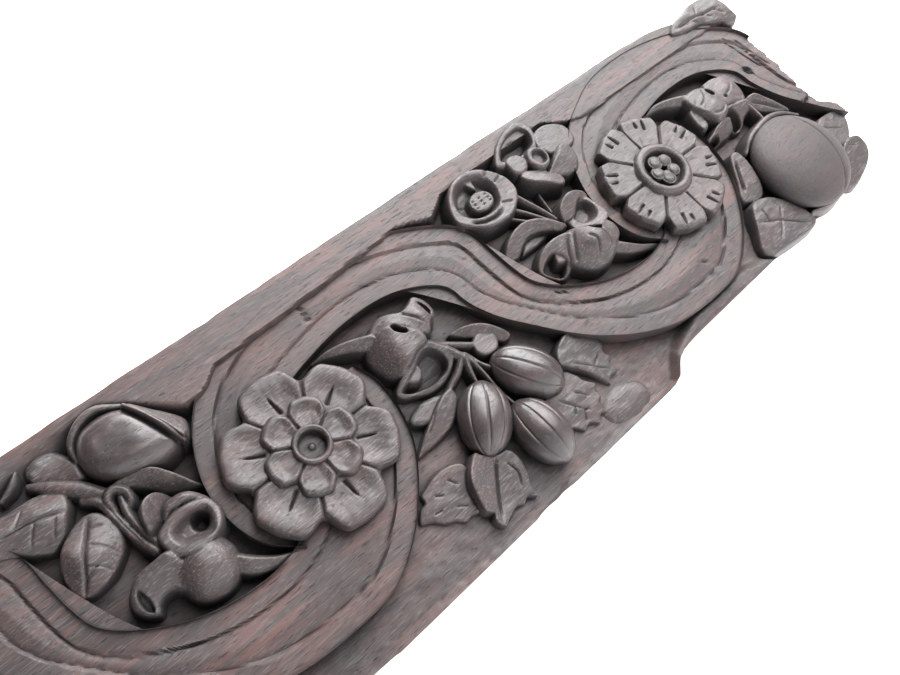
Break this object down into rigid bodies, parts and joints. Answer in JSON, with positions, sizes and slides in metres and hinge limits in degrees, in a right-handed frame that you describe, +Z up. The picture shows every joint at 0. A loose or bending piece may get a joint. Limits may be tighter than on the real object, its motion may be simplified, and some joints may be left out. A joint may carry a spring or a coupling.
{
  "type": "carved wall panel",
  "caption": "Carved oak wall panel: a broken length of frieze with a running scroll, rosettes, fruit, flowers and leaves in high relief on a flat-backed plank.",
  "frame": {"origin": "centre of the flat back of the plank, half way along its length and half way up its height", "axes": "+X along the panel's length towards the broken end, +Z up the wall, -Y out of the wall, so the carving faces -Y"},
  "size_m": [0.593, 0.037, 0.181],
  "materials": {
    "oak": "very dark stained oak with open grain, waxed, grey-brown sheen on the high carving, near-black grime in the recesses and light worn arrises"
  },
  "bodies": {
    "root": {"carved_panel": "oak"}
  },
  "joints": []
}
